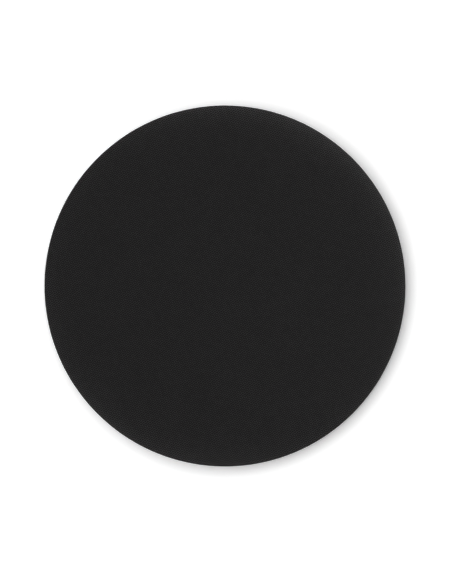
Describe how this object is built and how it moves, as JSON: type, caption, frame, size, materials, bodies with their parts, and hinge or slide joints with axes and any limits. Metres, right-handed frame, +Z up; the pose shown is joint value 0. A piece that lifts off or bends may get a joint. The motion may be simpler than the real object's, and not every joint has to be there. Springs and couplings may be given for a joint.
{
  "type": "mouse pad",
  "caption": "Round flat mouse pad: a knitted cloth face bonded by a film of glue to a sheet of foam rubber with a non-slip underside.",
  "frame": {"origin": "centre of the underside, on the surface that the pad lies on", "axes": "+Z up through the thickness, towards the cloth; +X to the right and +Y away from the user, as pictured from above"},
  "size_m": [0.2, 0.2, 0.003],
  "materials": {
    "foam_rubber": "matte closed-cell foam, embossed underside",
    "glue": "satin hot-melt film",
    "knitted_cloth": "matte jersey knit, pressed flat"
  },
  "bodies": {
    "root": {"foam_base": "foam_rubber", "glue_film": "glue", "cloth_face": "knitted_cloth"}
  },
  "joints": []
}
